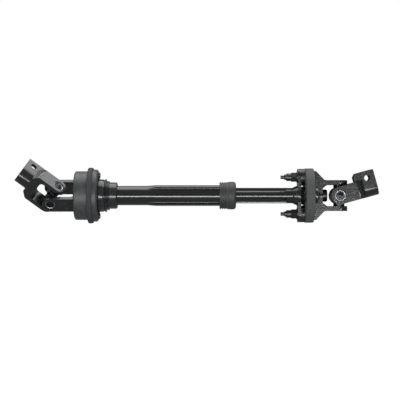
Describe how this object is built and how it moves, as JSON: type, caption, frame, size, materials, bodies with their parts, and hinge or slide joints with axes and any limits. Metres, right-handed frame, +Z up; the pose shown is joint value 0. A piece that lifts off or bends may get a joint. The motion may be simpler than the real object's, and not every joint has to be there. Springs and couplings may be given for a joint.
{
  "type": "universal joint shaft",
  "caption": "Telescoping steering shaft with a clamp-yoke universal joint at each end, a rubber disc coupling and a bulkhead seal.",
  "frame": {"origin": "middle of the bulkhead seal's spigot, on the shaft's axis", "axes": "+X along the shaft from the column end to the steering gear end, +Z up with the pinch lug of the gear end yoke"},
  "size_m": [0.5201, 0.0798, 0.0925],
  "materials": {
    "black_steel": "gloss black coating on tube and forgings",
    "bearing_steel": "blackened bearing steel",
    "ground_steel": "ground bearing steel",
    "moulded_housing": "matt moulded nylon",
    "soft_rubber": "matt black rubber",
    "disc_rubber": "fabric-reinforced rubber, cut edge",
    "zinc_steel": "dark zinc plated steel",
    "nylon": "natural nylon",
    "felt": "oiled felt",
    "weld": "black coated weld bead"
  },
  "bodies": {
    "dash_seal": {"seal_housing": "moulded_housing", "seal_flange_lip": "soft_rubber", "seal_retainer_ring": "moulded_housing", "seal_screws": "zinc_steel", "seal_bellows": "soft_rubber", "seal_hub": "moulded_housing", "seal_bush": "nylon"},
    "outer_shaft": {"upper_shaft_yoke": "black_steel", "upper_shaft_yoke_cups": "bearing_steel", "upper_shaft_yoke_needles": "ground_steel", "outer_tube": "black_steel", "tube_weld": "weld", "dust_collar": "soft_rubber", "collar_wiper": "felt"},
    "upper_cross": {"upper_cross": "bearing_steel", "upper_cross_seals": "soft_rubber"},
    "upper_clamp": {"upper_clamp_yoke": "black_steel", "upper_clamp_yoke_cups": "bearing_steel", "upper_clamp_yoke_needles": "ground_steel"},
    "inner_shaft": {"inner_shaft": "black_steel", "slide_liner": "nylon", "shaft_flange": "black_steel", "coupling_studs": "zinc_steel", "coupling_nuts": "zinc_steel", "coupling_washers": "zinc_steel", "coupling_spacers": "zinc_steel", "shaft_side_sleeves": "ground_steel", "coupling_disc": "disc_rubber", "pilot_stub": "bearing_steel"},
    "fork": {"lower_fork_yoke": "black_steel", "lower_fork_yoke_cups": "bearing_steel", "lower_fork_yoke_needles": "ground_steel", "fork_side_sleeves": "ground_steel", "coupling_rivets": "zinc_steel", "pilot_bush": "nylon"},
    "lower_cross": {"lower_cross": "bearing_steel", "lower_cross_seals": "soft_rubber"},
    "lower_clamp": {"lower_clamp_yoke": "black_steel", "lower_clamp_yoke_cups": "bearing_steel", "lower_clamp_yoke_needles": "ground_steel"}
  },
  "joints": [
    {"name": "shaft_spin", "type": "hinge", "parent": "dash_seal", "child": "outer_shaft", "pos_m": [0, 0, 0], "axis": [1, 0, 0], "continuous": true},
    {"name": "upper_cross_pivot", "type": "hinge", "parent": "outer_shaft", "child": "upper_cross", "pos_m": [-0.0435, 0, 0], "axis": [0, -0.766, -0.6428], "range_deg": [-6, 74]},
    {"name": "upper_clamp_pivot", "type": "hinge", "parent": "upper_cross", "child": "upper_clamp", "pos_m": [-0.0435, 0, 0], "axis": [0.5592, -0.5329, 0.6351], "range_deg": [-7, 39]},
    {"name": "shaft_slide", "type": "slide", "parent": "outer_shaft", "child": "inner_shaft", "axis": [1, 0, 0], "range_m": [-0.075, 0.04]},
    {"name": "coupling_twist", "type": "hinge", "parent": "inner_shaft", "child": "fork", "pos_m": [0.3246, 0, 0], "axis": [1, 0, 0], "range_deg": [-3, 3], "stiffness_Nm_per_rad": 80, "deforming": ["coupling_disc"]},
    {"name": "lower_cross_pivot", "type": "hinge", "parent": "fork", "child": "lower_cross", "pos_m": [0.3675, 0, 0], "axis": [0, 0, 1], "range_deg": [-25, 25]},
    {"name": "lower_clamp_pivot", "type": "hinge", "parent": "lower_cross", "child": "lower_clamp", "pos_m": [0.3675, 0, 0], "axis": [0, 1, 0], "range_deg": [-20, 50]}
  ]
}
